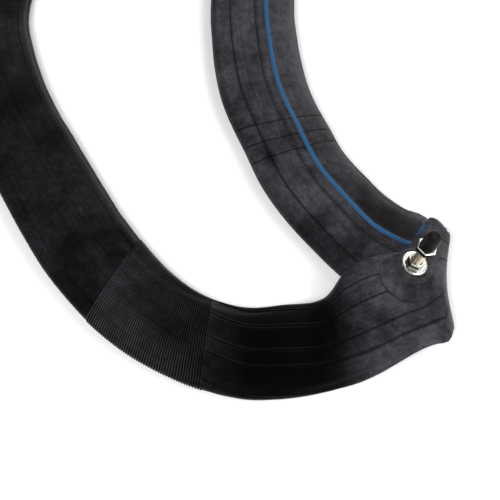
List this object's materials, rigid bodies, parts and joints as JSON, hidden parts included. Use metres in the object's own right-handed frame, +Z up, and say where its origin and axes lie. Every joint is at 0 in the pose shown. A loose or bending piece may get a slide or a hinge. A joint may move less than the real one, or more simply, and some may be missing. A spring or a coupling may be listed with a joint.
{
  "type": "inner tube",
  "caption": "Motorcycle inner tube with a metal clamp-in valve, lying flat with both ends folded over.",
  "frame": {"origin": "centre of the folded tube's footprint, on the surface it lies on", "axes": "+Z up from the surface it lies on; +Y along the folded tube's long direction, away from the valve end; +X towards the folds"},
  "size_m": [0.4102, 0.759, 0.0736],
  "materials": {
    "tube_rubber": "satin, dusty with talc, fine moulded ribs and a thin blue line",
    "nickel_plate": "bright",
    "stem_metal": "bright, threaded",
    "cap_plastic": "satin",
    "seal_rubber": "matt",
    "core_brass": "satin",
    "white_ptfe": "matt",
    "spring_steel": "satin"
  },
  "bodies": {
    "tube": {"tube_body": "tube_rubber", "valve_patch": "tube_rubber", "valve_stem": "stem_metal", "bridge_washer": "nickel_plate", "clamp_nut": "nickel_plate"},
    "rim_nut": {"rim_nut": "nickel_plate"},
    "cap_seal": {"cap_seal": "seal_rubber"},
    "valve_cap": {"valve_cap": "cap_plastic"},
    "core": {"core_barrel": "core_brass", "core_gasket": "white_ptfe", "core_spring": "spring_steel"},
    "core_plug": {"core_plug": "core_brass"},
    "core_pin": {"core_pin": "core_brass", "core_cup": "core_brass", "core_cup_seal": "seal_rubber"}
  },
  "joints": [
    {"name": "rim_nut_travel", "type": "slide", "parent": "tube", "child": "rim_nut", "axis": [0.2539, -0.082, 0.9637], "range_m": [-0.0152, 0]},
    {"name": "cap_lift", "type": "slide", "parent": "tube", "child": "cap_seal", "axis": [0.2539, -0.082, 0.9637], "range_m": [0, 0.006]},
    {"name": "cap_turn", "type": "hinge", "parent": "cap_seal", "child": "valve_cap", "pos_m": [0.17331, -0.28581, 0.0339], "axis": [0.2539, -0.082, 0.9637], "range_deg": [0, 2722]},
    {"name": "core_lift", "type": "slide", "parent": "tube", "child": "core", "axis": [0.2539, -0.082, 0.9637], "range_m": [0, 0.0024]},
    {"name": "core_turn", "type": "hinge", "parent": "core", "child": "core_plug", "pos_m": [0.17331, -0.28581, 0.0339], "axis": [0.2539, -0.082, 0.9637], "range_deg": [0, 1225]},
    {"name": "core_pin_press", "type": "slide", "parent": "core", "child": "core_pin", "axis": [0.2539, -0.082, 0.9637], "range_m": [-0.0012, 0], "stiffness_N_per_m": 800, "springref_m": 0.002, "deforming": ["core_spring"]}
  ],
  "couplings": [
    {"joint": "cap_turn", "follows": "cap_lift", "rad_per_m": 7915.8},
    {"joint": "core_turn", "follows": "core_lift", "rad_per_m": 8905.5}
  ]
}
